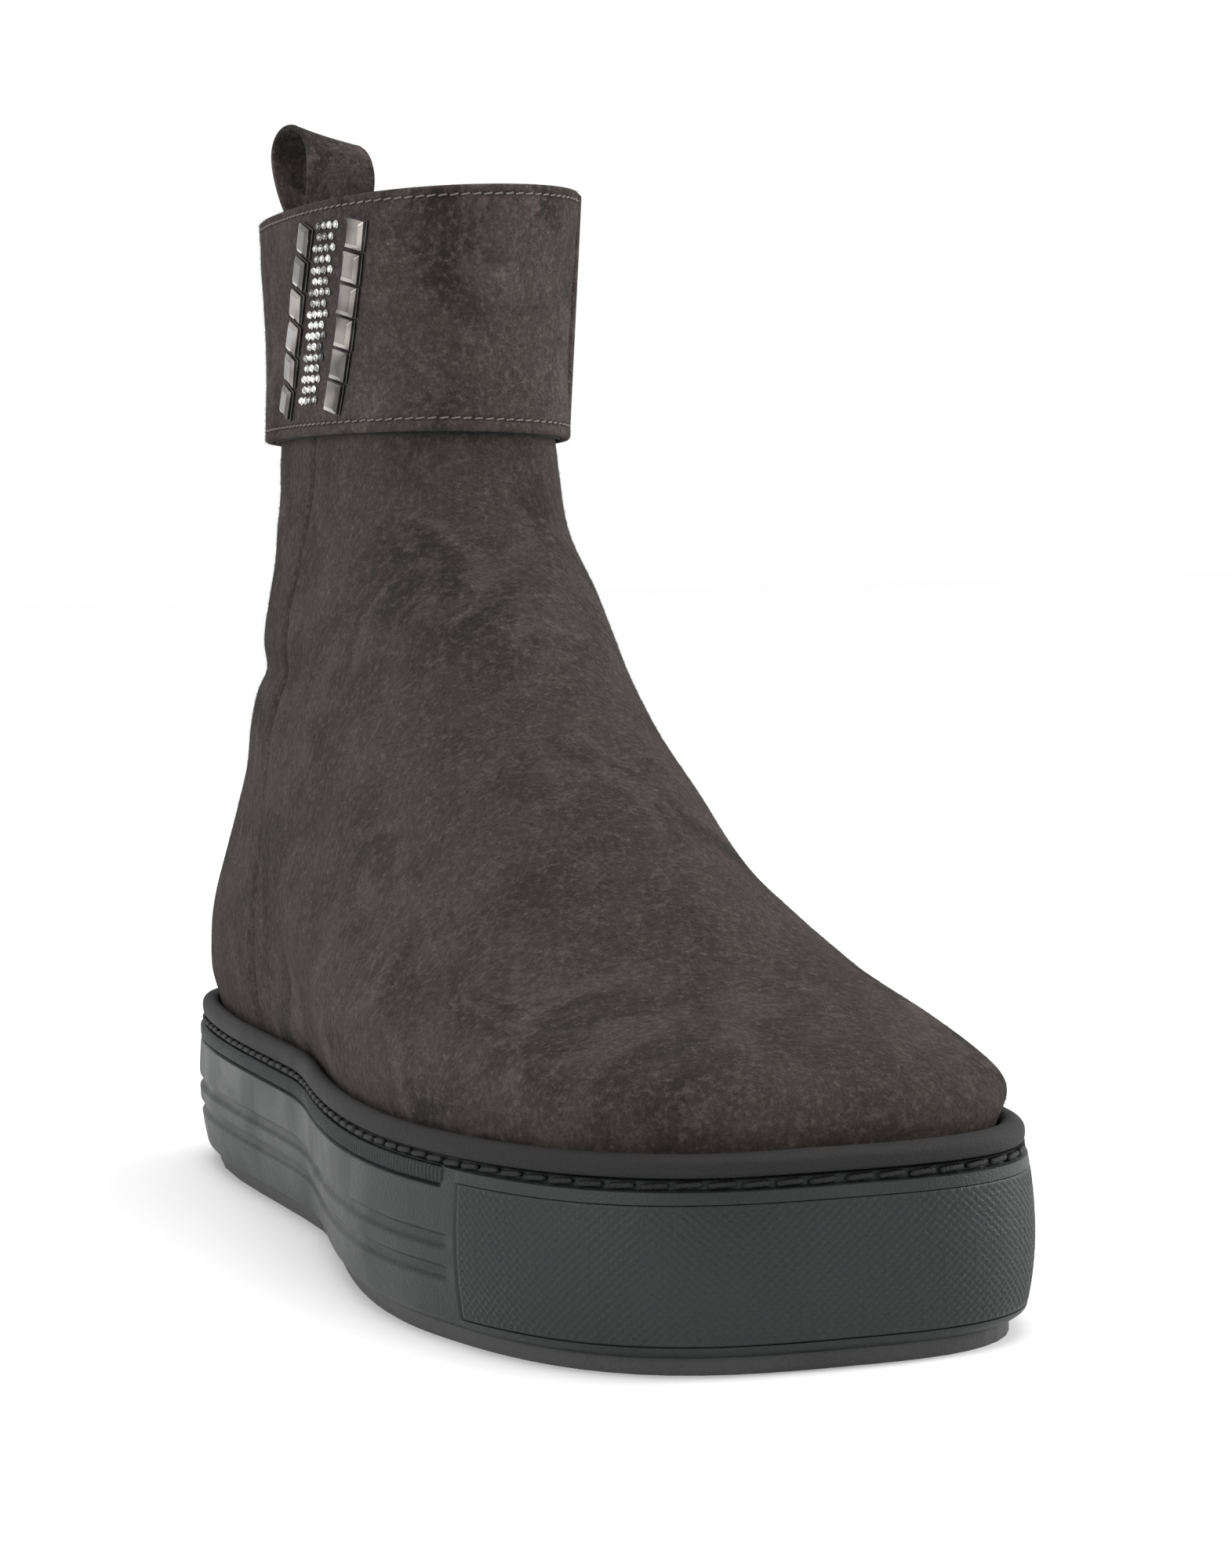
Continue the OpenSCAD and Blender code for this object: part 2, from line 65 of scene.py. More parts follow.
# Upper: depths are offsets from its outer surface, outwards positive
Z_RIM = 34.5
BASE_INSET = 7.0
UP_BOT = 32.2
SHAFT_TOP = 197.0
SUEDE_T = 1.4
HID_OUT, HID_IN = -1.6, -2.5  # the back panel where it runs under the seam
LIN_OUT, LIN_IN = -2.7, -3.5
SEAM_BACK, SEAM_LAP = 62.0, 7.0
ZIP_Y, ZIP_LOW, ZIP_GAP = 94.0, 88.0, 4

# Cuff: angles round the shaft in degrees, stitch rows as shares of its height
CUFF_LOW, CUFF_HIGH = 153.3, 201.5
CUFF_OUT, CUFF_IN = 3.0, 1.4
BEAD_A, FLAP_A = 60.0, 140.0
STITCH_LOW, STITCH_HIGH = 0.05, 0.962
STITCH_PITCH, STITCH_LEN = 2.3, 1.4
STONE_ARC, STONE_SPAN = (268, 324), (158, 199)  # where the stones are, in angle and in height
LOOP_A, LOOP_W, LOOP_H = 194.0, 17.0, 22.7

# ---------------------------------------------------------------- shape formulas


def table(*pairs):
    """Rows of heights and values from (height, value) pairs."""
    return np.array(pairs, float).T


# Front and back reach of the upper, and its half widths on the outer and the inner side, by height
REACH_F = table((34.5, 132), (40, 132), (48, 126.5), (58, 98), (70, 78), (84, 57), (100, 30.5),
                (118, 6.5), (136, -20), (152, -27.5), (204, -28))
REACH_B = table((34.5, -134), (60, -138), (90, -129), (120, -124), (152, -121.5), (204, -126))
HALF_O = table((34.5, 40.5), (41, 42.5), (50, 42.5), (70, 38.2), (95, 32.6), (120, 28), (152, 24),
               (204, 23.4))
HALF_I = table((34.5, 54.5), (41, 57), (50, 50.5), (70, 38.3), (95, 32.6), (120, 28.3), (152, 26.5),
               (204, 31.2))


def smooth(x):
    x = np.clip(x, 0, 1)
    return x * x * (3 - 2 * x)


def curve(tab, x):
    """Smooth curve through a table of heights and values."""
    z, v = tab
    h = np.diff(z)
    d = np.diff(v) / h
    m = np.concatenate([d[:1], (h[:-1] * d[1:] + h[1:] * d[:-1]) / (h[:-1] + h[1:]), d[-1:]])
    i = np.clip(np.searchsorted(z, x, side="right") - 1, 0, len(z) - 2)
    u = (x - z[i]) / h[i]
    w = 1 - u
    return (v[i] * (1 + 2 * u) * w * w + v[i + 1] * u * u * (3 - 2 * u)
            + m[i] * h[i] * u * w * w - m[i + 1] * h[i] * u * u * w)


def radial(a, p):
    """Superellipse point at a polar angle: (sideways, forwards), each -1 to 1."""
    s, c = np.sin(a), np.cos(a)
    r = (np.abs(s) ** p + np.abs(c) ** p) ** (-1 / p)
    return s * r, c * r


def outline(inset, deg, z=WALL_H):
    """Sole outline at an angle: 0 at the toe, 90 on the inner side, 180 at the heel."""
    deg, inset, z = np.broadcast_arrays(np.asarray(deg, float), inset, z)
    a = np.radians(deg)
    fx, ft = radial(a, 3.0)
    bx, bt = radial(a, 5.4)
    ahead = np.cos(a) > 0
    nx, nt = np.where(ahead, fx, bx), np.where(ahead, ft, bt)
    t = TOE_CENTRE + np.where(nt > 0, HALF_LEN - inset - TOE_CENTRE, HALF_LEN - inset + TOE_CENTRE) * nt
    waist = np.where(nx > 0, 27.0, 35 + 3.5 * z / 35)
    ball = np.where(nx > 0, BALL_IN, BALL_OUT)
    behind = HEEL_HALF + (waist - HEEL_HALF) * smooth((t + 123) / 98)
    before = waist + (ball - waist) * smooth((t + 25) / 107)
    w = np.where(t < -25, behind, before)
    return np.stack([(w - inset) * nx + TOE_SWING * smooth(t / HALF_LEN) - CX, -t], -1)


def ahead(deg, z):
    """Distance ahead of the sole's middle, on its outline at a height."""
    return -outline(1.0, deg, z)[..., 1]


def at_height(xy, z):
    """Adds a height, one number or a grid, to a grid of floor-plan points."""
    return np.concatenate([xy, np.broadcast_to(z, xy.shape[:-1])[..., None]], -1)


BASE_X = outline(BASE_INSET, np.arange(0, 360, 3.0))[:, 0] + CX


def upper(deg, z):
    """Point on the upper's outer surface."""
    deg, z = np.broadcast_arrays(np.asarray(deg, float), np.asarray(z, float))
    b = outline(BASE_INSET, deg)
    bx = b[..., 0] + CX
    ex, et = radial(np.radians(deg), 2.3)
    m = smooth((z - Z_RIM) / 70.5)
    nx = (1 - m) * bx / np.where(bx < 0, -BASE_X.min(), BASE_X.max()) + m * ex
    nt = (1 - m) * -b[..., 1] / (HALF_LEN - BASE_INSET) + m * et
    f, k = curve(REACH_F, z), curve(REACH_B, z)
    w = np.where(nx < 0, curve(HALF_O, z), curve(HALF_I, z))
    x = nx * w + 5.3 * smooth((z - Z_RIM) / 115.5) - CX
    return np.stack([x, -((f + k) / 2 + nt * (f - k) / 2), z], -1)


def unit(v):
    return v / np.linalg.norm(v, axis=-1, keepdims=True)


def skin_frame(deg, z):
    """Directions on the upper: along (towards larger angles), up the surface, outwards."""
    along = unit(upper(deg + 1, z) - upper(deg - 1, z))
    out = unit(np.cross(along, upper(deg, z + 0.5) - upper(deg, z - 0.5)))
    return along, np.cross(out, along), out


def skin(deg, z, d):
    """Point a distance d off the upper's outer surface."""
    deg, z, d = np.broadcast_arrays(np.asarray(deg, float), np.asarray(z, float), np.asarray(d, float))
    return upper(deg, z) + d[..., None] * skin_frame(deg, z)[2]


def angle_at(y, z, lo, hi):
    """Angle between lo and hi where the upper is at a given y, for an array of heights."""
    z, y = np.broadcast_arrays(np.asarray(z, float), np.asarray(y, float))
    lo, hi = np.full(z.shape, float(lo)), np.full(z.shape, float(hi))
    start = upper(lo, z)[..., 1] < y
    for _ in range(20):
        mid = (lo + hi) / 2
        same = (upper(mid, z)[..., 1] < y) == start
        lo, hi = np.where(same, mid, lo), np.where(same, hi, mid)
    return (lo + hi) / 2


def outer_angle(y, z):
    """Angle on the outer side of the foot."""
    return angle_at(y, z, 185, 350)


def inner_angle(y, z):
    """Angle on the inner side of the foot."""
    return angle_at(y, z, 10, 175)


def cuff_z(deg, f):
    """Height at a share f of the cuff, whose two edges lean slightly."""
    a = np.radians(deg)
    lo = CUFF_LOW + 0.5 * np.cos(a) - np.sin(a)
    hi = CUFF_HIGH + np.cos(a) + 0.9 * np.sin(a)
    return lo + (hi - lo) * f


def run_along(p):
    """Distance travelled along a line of points."""
    return np.concatenate([[0], np.cumsum(np.linalg.norm(np.diff(p, axis=0), axis=1))])


FINE = np.arange(0, 360.01, 0.25)
RUN = run_along(outline(1.0, FINE, 31.0))


def at_run(s):
    """Angle after a run of s millimetres round the sole's rim from the toe."""
    return np.interp(s, RUN, FINE)


def waves(p, size, seed):
    """Smooth irregular field, about -1 to 1, with features of a given size in millimetres."""
    rng = np.random.RandomState(seed)
    total = np.zeros(p.shape[:-1])
    for _ in range(9):
        k = unit(rng.normal(size=3)) * rng.uniform(0.6, 1.5) * 2 * math.pi / size
        total += np.sin(p @ k + rng.uniform(0, 6.28))
    peak = 3.2
    return total / peak


def span_grid(a0, a1, z, u):
    """Grid of angles and heights between two edges given at each height."""
    deg = a0[:, None] + (a1 - a0)[:, None] * u
    return deg, np.broadcast_to(z[:, None], deg.shape)


# ---------------------------------------------------------------- meshes


def make(name, verts, faces, body, material, slot, *nodes, sharp=40):
    """A mesh piece in millimetres that rides on a body and stands for CAD nodes."""
    mesh = bpy.data.meshes.new(name)
    mesh.from_pydata((np.asarray(verts) * MM).tolist(), [], faces)
    mesh.validate()
    mesh.shade_smooth()
    if sharp:
        mesh.set_sharp_from_angle(angle=math.radians(sharp))
    obj = bpy.data.objects.new(name, mesh)
    bpy.context.scene.collection.objects.link(obj)
    mesh.materials.append(material)
    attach(obj, body)
    if nodes:
        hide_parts(*nodes)
    return obj


def grid_faces(m, n, wrap_m=False, wrap_n=False, flip=False, start=0):
    """Quads of an m by n grid of points, joined up at an edge where it wraps."""
    j = np.arange(m if wrap_m else m - 1)[:, None]
    k = np.arange(n if wrap_n else n - 1)[None, :]
    j2, k2 = (j + 1) % m, (k + 1) % n
    q = np.stack([j * n + k, j * n + k2, j2 * n + k2, j2 * n + k], -1).reshape(-1, 4) + start
    return (q[:, ::-1] if flip else q).tolist()


def sheet_mesh(outer, inner, ring=False):
    """Closed wall between an outer and an inner grid of points [level][angle]."""
    m, n = outer.shape[:2]
    h = m * n
    faces = grid_faces(m, n, wrap_n=ring) + grid_faces(m, n, wrap_n=ring, flip=True, start=h)
    k = np.arange(n if ring else n - 1)
    q = (k + 1) % n
    faces += np.stack([q, k, h + k, h + q], -1).tolist()
    top = (m - 1) * n
    faces += np.stack([top + k, top + q, h + top + q, h + top + k], -1).tolist()
    if not ring:
        a = np.arange(m - 1) * n
        faces += np.stack([a, a + n, h + a + n, h + a], -1).tolist()
        c = a + n - 1
        faces += np.stack([c + n, c, h + c, h + c + n], -1).tolist()
    return np.concatenate([outer.reshape(-1, 3), inner.reshape(-1, 3)]), faces


def sweep_mesh(rows, ring=False):
    """Tube from closed sections [step][section point]; open sweeps get end caps."""
    m, n = rows.shape[:2]
    faces = grid_faces(m, n, wrap_m=ring, wrap_n=True)
    if not ring:
        faces += [list(range(n - 1, -1, -1)), [(m - 1) * n + k for k in range(n)]]
    return rows.reshape(-1, 3), faces


def merge(parts):
    """One mesh from many (points, faces) pairs."""
    verts, faces, base = [], [], 0
    for v, f in parts:
        verts.append(np.asarray(v, float))
        faces += [[i + base for i in q] for q in f]
        base += len(v)
    return np.concatenate(verts), faces


def capsule(p, q, r, sides=8):
    """Rounded rod from p to q."""
    p, q = np.asarray(p, float), np.asarray(q, float)
    d = unit(q - p)
    u = unit(np.cross(d, [0.0, 0.3, 1.0] if abs(d[2]) < 0.9 else [1.0, 0.0, 0.0]))
    v = np.cross(d, u)
    t = np.linspace(0, 2 * math.pi, sides, endpoint=False)
    ring = np.cos(t)[:, None] * u + np.sin(t)[:, None] * v
    ends = [(p, -0.98, 0.2), (p, -0.7, 0.7), (p, 0, 1), (q, 0, 1), (q, 0.7, 0.7), (q, 0.98, 0.2)]
    rows = np.array([c + d * r * s + ring * r * w for c, s, w in ends])
    return sweep_mesh(rows)


def block(size, place, corner=0.12, bevel=0.1, rise=0.1):
    """Flat-topped block on z 0 with cut corners and a bevel of a given width and height."""
    sx, sy, sz = size
    rows = []
    for z, e in ((0, 0), (sz - rise, 0), (sz, bevel)):
        hx, hy = sx / 2 - e, sy / 2 - e
        ix, iy = hx - corner, hy - corner
        rows.append([(ix, -hy, z), (hx, -iy, z), (hx, iy, z), (ix, hy, z),
                     (-ix, hy, z), (-hx, iy, z), (-hx, -iy, z), (-ix, -hy, z)])
    return sweep_mesh(place(np.array(rows, float)))


def on_skin(deg, z, d, lean=0.0):
    """Placing function: local x along the surface, y up it, z outwards."""
    p = skin(deg, z, d)
    u, v, n = skin_frame(np.asarray(deg, float), np.asarray(z, float))
    c, s = math.cos(math.radians(lean)), math.sin(math.radians(lean))
    axes = np.array([c * u + s * v, -s * u + c * v, n])
    return lambda q: p + q @ axes


# ---------------------------------------------------------------- materials


def socket(node, name, value):
    node.inputs[name].default_value = value


def new_material(name):
    """Material, its node tree and its shader."""
    m = bpy.data.materials.new(name)
    m.use_nodes = True
    tree = m.node_tree
    return m, tree, tree.nodes["Principled BSDF"]


def noise(tree, scale, detail=4.0, rough=0.55, distort=0.0):
    """Noise fixed to the object, with scale in features per metre."""
    co = tree.nodes.get("Coords") or tree.nodes.new("ShaderNodeTexCoord")
    co.name = "Coords"
    n = tree.nodes.new("ShaderNodeTexNoise")
    socket(n, "Scale", scale)
    socket(n, "Detail", detail)
    socket(n, "Roughness", rough)
    socket(n, "Distortion", distort)
    tree.links.new(co.outputs["Object"], n.inputs["Vector"])
    return n.outputs["Fac"]


def spread(tree, value, low, high, out_low=0.0, out_high=1.0):
    """Stretches a value from one range to another and clips it there."""
    n = tree.nodes.new("ShaderNodeMapRange")
    n.inputs["From Min"].default_value, n.inputs["From Max"].default_value = low, high
    n.inputs["To Min"].default_value, n.inputs["To Max"].default_value = out_low, out_high
    tree.links.new(value, n.inputs["Value"])
    return n.outputs["Result"]


def mix(tree, fac, a, b):
    """Blend of two colours, each a tuple or another node's output."""
    n = tree.nodes.new("ShaderNodeMix")
    n.data_type = "RGBA"
    tree.links.new(fac, n.inputs["Factor"])
    for s, v in (("A", a), ("B", b)):
        target = next(i for i in n.inputs if i.name == s and i.type == "RGBA")
        if isinstance(v, tuple):
            target.default_value = (*v, 1)
        else:
            tree.links.new(v, target)
    return next(o for o in n.outputs if o.type == "RGBA")


def bump(tree, shader, *layers):
    """Stacks bump layers of (height, strength, distance in metres)."""
    last = None
    for height, strength, distance in layers:
        n = tree.nodes.new("ShaderNodeBump")
        socket(n, "Strength", strength)
        socket(n, "Distance", distance)
        tree.links.new(height, n.inputs["Height"])
        if last is not None:
            tree.links.new(last, n.inputs["Normal"])
        last = n.outputs["Normal"]
    tree.links.new(last, shader.inputs["Normal"])


def suede(name, dark, mid, light, warm):
    """Brushed nap: cloudy patches where the nap lies differently, fine fibres, soft sheen."""
    m, tree, s = new_material(name)
    patch = spread(tree, noise(tree, 32, 5, 0.6, 1.5), 0.43, 0.55)
    streak = spread(tree, noise(tree, 48, 7, 0.68, 2.0), 0.49, 0.66)
    tint = spread(tree, noise(tree, 22, 2, 0.5, 0.5), 0.42, 0.58, 0.0, 0.6)
    fibre = spread(tree, noise(tree, 1100, 5, 0.8), 0.36, 0.64)
    grain = spread(tree, noise(tree, 700, 6, 0.85), 0.5, 0.66)
    base = mix(tree, patch, dark, mid)
    base = mix(tree, spread(tree, streak, 0, 1, 0, 0.7), base, light)
    base = mix(tree, tint, base, warm)
    base = mix(tree, spread(tree, fibre, 0, 1, 0.65, 0), base, tuple(c * 0.3 for c in dark))
    base = mix(tree, spread(tree, grain, 0, 1, 0, 0.4), base, tuple(c * 1.5 for c in light))
    tree.links.new(base, s.inputs["Base Color"])
    socket(s, "Roughness", 0.95)
    socket(s, "Specular IOR Level", 0.08)
    socket(s, "Sheen Weight", 0.12)
    socket(s, "Sheen Roughness", 0.4)
    s.inputs["Sheen Tint"].default_value = (1.0, 0.93, 0.89, 1)
    bump(tree, s, (fibre, 1.0, 0.0008), (noise(tree, 500, 3, 0.6), 0.3, 0.0006))
    return m


def rubber(name, dark, light, rough=0.55, dust=0.25):
    """Matt rubber, slightly clouded, with a fine grain."""
    m, tree, s = new_material(name)
    cloud = spread(tree, noise(tree, 45, 4, 0.5, 0.5), 0.35, 0.65)
    grain = spread(tree, noise(tree, 1800, 2, 0.5), 0.35, 0.65)
    base = mix(tree, cloud, dark, light)
    base = mix(tree, spread(tree, grain, 0, 1, 0, dust), base, tuple(c * 1.35 for c in light))
    tree.links.new(base, s.inputs["Base Color"])
    tree.links.new(spread(tree, cloud, 0, 1, rough - 0.06, rough + 0.08), s.inputs["Roughness"])
    socket(s, "Specular IOR Level", 0.3)
    bump(tree, s, (grain, 0.3, 0.0002), (noise(tree, 260, 2), 0.15, 0.0004))
    return m


def cloth(name, dark, light, scale=1400.0, rough=0.9):
    """Any dull fine-grained material: thread, lining, tape, foam and board."""
    m, tree, s = new_material(name)
    weave = spread(tree, noise(tree, scale, 2, 0.5), 0.35, 0.65)
    tree.links.new(mix(tree, weave, dark, light), s.inputs["Base Color"])
    socket(s, "Roughness", rough)
    socket(s, "Specular IOR Level", 0.2)
    bump(tree, s, (weave, 0.5, 0.0003))
    return m


def metal(name, dark, light, rough=0.28):
    """Metal with slightly uneven polish."""
    m, tree, s = new_material(name)
    wear = spread(tree, noise(tree, 300, 3), 0.35, 0.65)
    tree.links.new(mix(tree, wear, dark, light), s.inputs["Base Color"])
    tree.links.new(spread(tree, wear, 0, 1, rough - 0.06, rough + 0.08), s.inputs["Roughness"])
    socket(s, "Metallic", 1.0)
    return m


def stone(name, dark, light, rough, metallic):
    """Foil-backed cut glass, which reads as a coloured mirror under a clear coat."""
    m, tree, s = new_material(name)
    depth = spread(tree, noise(tree, 150, 1, 0.4), 0.38, 0.62)
    tree.links.new(mix(tree, depth, dark, light), s.inputs["Base Color"])
    socket(s, "Roughness", rough)
    socket(s, "Metallic", metallic)
    socket(s, "Coat Weight", 1.0)
    socket(s, "Coat Roughness", 0.03)
    return m


# The suede's four colours: shadowed nap, even nap, brushed-up nap and a warmer tint
NAP_DARK = (0.0125, 0.0093, 0.0091)
NAP_MID = (0.066, 0.0505, 0.048)
NAP_LIGHT = (0.150, 0.119, 0.114)
NAP_WARM = (0.060, 0.040, 0.035)


def suede_light_share(name, light_share):
    """Suede with its four colours made lighter or darker together: lit and shaded copies of one suede,
    as painted light and shade.
    """
    colours = (NAP_DARK, NAP_MID, NAP_LIGHT, NAP_WARM)
    return suede(name, *(tuple(c * light_share for c in v) for v in colours))


SUEDE = suede_light_share("suede", 1.28)
# Painted light: the cuff's suede is a lighter copy of the upper's, because the cuff stands out into the
# light and the shaft below it sits in shade
CUFF_SUEDE_PAINTED_LIGHTER = suede_light_share("suede_cuff_painted_lighter", 1.55)
LINING = cloth("lining_cloth", (0.012, 0.011, 0.011), (0.03, 0.028, 0.027))
RUBBER = rubber("rubber", (0.009, 0.0105, 0.0108), (0.015, 0.0168, 0.0172), 0.48)
LIP = rubber("lip_rubber", (0.006, 0.0062, 0.006), (0.011, 0.0113, 0.011), 0.75)
TREAD = rubber("tread_rubber", (0.036, 0.0367, 0.036), (0.052, 0.0527, 0.052), 0.6)
THREAD = cloth("thread_black", (0.006, 0.006, 0.006), (0.016, 0.016, 0.016), 3000, 0.6)
TAUPE = cloth("thread_taupe", (0.10, 0.088, 0.083), (0.19, 0.168, 0.158), 3000, 0.7)
FOAM = cloth("foam", (0.42, 0.41, 0.38), (0.55, 0.54, 0.5), 500)
BOARD = cloth("board", (0.25, 0.17, 0.11), (0.36, 0.26, 0.17), 300)
TAPE = cloth("tape", (0.008, 0.008, 0.008), (0.02, 0.02, 0.02), 2400)
STEEL = metal("steel", (0.4, 0.4, 0.42), (0.55, 0.55, 0.56), 0.35)
GUNMETAL = metal("gunmetal", (0.05, 0.047, 0.045), (0.12, 0.115, 0.11), 0.3)
STONE = stone("smoky_stone", (0.05, 0.044, 0.04), (0.30, 0.27, 0.245), 0.08, 0.9)
CLEAR = stone("clear_stone", (0.06, 0.06, 0.06), (0.75, 0.74, 0.72), 0.06, 0.9)

# ---------------------------------------------------------------- sole


def wall_in(z):
    """How far the bulged side wall stands in at each height."""
    u = 2 * z / 34.7 - 1
    return BULGE * u * u * np.where(u > 0, 0.7, 1)


def ramp(z, lo, hi, soft):
    """1 between lo and hi, with soft shoulders."""
    return smooth((z - lo) / soft + 0.5) * smooth((hi - z) / soft + 0.5)


def cup_inset(deg, z):
    """Side wall with its recess for the toe panel, grooves, rib channel and rounded foot."""
    t = ahead(deg, 17.0)
    toe = smooth((t - PANEL_T + 0.5) / 0.4)
    side = 1 - smooth((t - PANEL_T + 6) / 5)
    grooves = sum(ramp(z, lo, hi, 0.9) for lo, hi in GROOVES)
    welt = ramp(z, 30.25, 31.9, 0.3)
    channel = ramp(z, 26.7, 30.3, 0.4) * smooth((PANEL_T - 4.5 - t) / 3)
    foot = 1.4 * smooth((5.0 - z) / 2.2) ** 2
    recess = toe * ramp(z, PANEL_LOW, PANEL_HIGH, 0.2)
    return wall_in(z) + 0.35 - 0.27 * toe + recess + grooves * side + 1.2 * welt + channel + foot


def build_cup():
    """Hollow side wall, swept upwards from its foot and down its inside."""
    n = 900
    deg = at_run(np.linspace(0, RUN[-1], n, endpoint=False))
    z = np.concatenate([np.linspace(3.05, 6, 10), np.linspace(6.3, 26, 62), np.linspace(26.2, 32, 40)])
    z2, d2 = np.meshgrid(z, deg, indexing="ij")
    xy = outline(cup_inset(d2, z2), d2, z2)
    top = outline(7.4, deg, 20.0)
    inside = [at_height(top, h)[None] for h in (WALL_H, CUP_FLOOR)]
    rows = np.concatenate([at_height(xy, z2), *inside])
    make("sole_cup_wall", *sweep_mesh(rows), BOOT, RUBBER, "rubber", "sole_cup", sharp=60)


def build_toe_panel():
    """Raised panel round the toe with a fine knurl of crossing diagonal cuts."""
    step, pitch, steep = 0.3, 1.75, 1.15
    s = np.arange(-170, 170, step)
    deg = at_run(s % RUN[-1])
    keep = ahead(deg, 17.0) > PANEL_T
    s, deg = s[keep], deg[keep]
    z = np.arange(PANEL_LOW, PANEL_HIGH + 0.01, step)
    z2, s2 = np.meshgrid(z, s, indexing="ij")
    d2 = np.broadcast_to(deg, z2.shape)
    one_way = np.abs(np.sin(math.pi * (s2 + z2 * steep) / pitch))
    other_way = np.abs(np.sin(math.pi * (s2 - z2 * steep) / pitch))
    cut = one_way * other_way
    edge = np.minimum.reduce([z2 - PANEL_LOW, PANEL_HIGH - z2, (s2 - s[0]) * 0.8, (s[-1] - s2) * 0.8])
    relief = 0.05 + 0.28 * (1 - np.clip(cut * 1.6, 0, 1)) * smooth((edge - 0.2) / 0.6)
    rim = 0.12 * (1 - smooth(edge / 0.5))
    outer = at_height(outline(wall_in(z2) + relief * 0.8 + rim, d2, z2), z2)
    inner = at_height(outline(wall_in(z2) + 0.95, d2, z2), z2)
    make("toe_panel_knurl", *sheet_mesh(outer, inner), BOOT, RUBBER, "rubber", "toe_panel", sharp=0)


def build_ribs():
    """Band of small upright ribs in the channel under the lip, behind the toe panel."""
    run = RUN[ahead(FINE, 27.0) < PANEL_T - 4]
    per = 8
    count = int((run[-1] - run[0]) / RIB_PITCH)
    s = run[0] + np.arange(count * per + 1) * RIB_PITCH / per
    deg = at_run(s)
    wave = np.abs(np.sin(math.pi * np.arange(count * per + 1) / per)) ** 0.7
    z = np.array([27.0, 27.25, 27.8, 29.4, 29.8, 30.0])
    lift = np.array([0.0, 0.7, 1.0, 1.0, 0.8, 0.3])
    inset = 1.65 - 0.85 * lift[:, None] * wave[None, :]
    z2, d2 = np.meshgrid(z, deg, indexing="ij")
    outer = at_height(outline(inset, d2, z2), z2)
    inner = at_height(outline(2.3, d2, z2), z2)
    make("side_rib_band", *sheet_mesh(outer, inner), BOOT, RUBBER, "rubber", "side_ribs", sharp=0)


def build_lip():
    """Rolled rubber lip that bridges from the side wall to the upper."""
    crown_z, crown_h, arc_steps = 33.6, 2.1, 13
    deg = at_run(np.linspace(0, RUN[-1], 720, endpoint=False))
    outside = outline(1.4, deg)
    inside = skin(deg, 35.0, 0.25)[:, :2]
    mid = (outside + inside) / 2
    half = (outside - inside) / 2
    section = []
    for k in range(arc_steps + 1):
        a = math.pi * (k / arc_steps)
        c, s = math.cos(a), math.sin(a)
        xy = mid + half * c * (1.03 if c > 0 else 1.0)
        section.append(at_height(xy, crown_z + crown_h * max(s, 0) ** 0.8))
    for c, z in ((-1.0, 32.05), (0.8, 32.05), (0.94, 32.3), (1.0, 33.0)):
        section.append(at_height(mid + half * c, z))
    rows = np.stack(section, 1)
    rows[..., 2] += 0.12 * waves(rows, 45, 5)
    make("rim_lip_roll", *sweep_mesh(rows, ring=True), BOOT, LIP, "rubber", "rim_lip", sharp=0)


def build_welt_stitches():
    """Thick thread dashes in the groove round the sole."""
    parts = []
    s = 1.0
    reach = 1.9
    rng = np.random.RandomState(3)
    while s < RUN[-1] - 3.6:
        deg = at_run(np.array([s - reach, s + reach]) % RUN[-1])
        p = outline(1.75, deg, 31.0)
        z = 31.1 + rng.uniform(-0.12, 0.12)
        parts.append(capsule([*p[0], z - 0.12], [*p[1], z + 0.12], 0.52))
        s += WELT_PITCH
    make("welt_stitches", *merge(parts), BOOT, THREAD, "thread", "welt_stitching", sharp=0)


# ---------------------------------------------------------------- upper


def creases(deg, z):
    """Soft folds and dents of worn-in suede, in millimetres outwards."""
    p = upper(deg, z)
    y = p[..., 1]
    outer = deg % 360 > 180
    d = 0.35 * waves(p, 46, 11) + 0.12 * waves(p, 15, 12)
    back = smooth((np.where(outer, deg % 360, 180) - 195) / 25) * smooth((290 - deg % 360) / 30)
    d = d + back * (-1.3 * np.exp(-((z - 107) / 3.5) ** 2) + 0.7 * np.exp(-((z - 118) / 8) ** 2)
                    + 0.4 * np.exp(-((z - 96) / 5) ** 2))
    low = smooth((95 - z) / 30) * smooth((z - 34) / 8)
    folds = ((54, 2.4, -0.6), (49, 3.0, 0.5), (41, 4.5, -0.5), (33, 6, 0.35))
    for at, width, depth in folds:
        d = d + np.where(outer, low * depth * np.exp(-((y - at - 0.06 * (z - 60)) / width) ** 2), 0)
    return d * smooth((z - 34) / 6) * smooth((152 - z) / 8)


def upper_levels(n):
    """Heights up the upper, closer together near the sole."""
    return UP_BOT + (SHAFT_TOP - UP_BOT) * np.linspace(0, 1, n) ** 1.35


def build_vamp():
    """Front panel, with its edge turned down where it laps the back panel."""
    z = upper_levels(230)
    a0 = outer_angle(SEAM_BACK, z) - 360
    a1 = inner_angle(ZIP_Y - ZIP_GAP, z)
    deg, z2 = span_grid(a0, a1, z, np.linspace(0, 1, 320))
    arc = (deg - a0[:, None]) * 0.62
    turned = -0.9 * (1 - smooth(arc / 0.9)) ** 2 + 0.25 * np.exp(-((arc - 2.2) / 1.4) ** 2)
    relief = creases(deg, z2)
    outer = skin(deg, z2, relief + turned)
    inner = skin(deg, z2, relief - SUEDE_T)
    make("vamp_suede", *sheet_mesh(outer, inner), BOOT, SUEDE, "suede", "vamp", sharp=0)


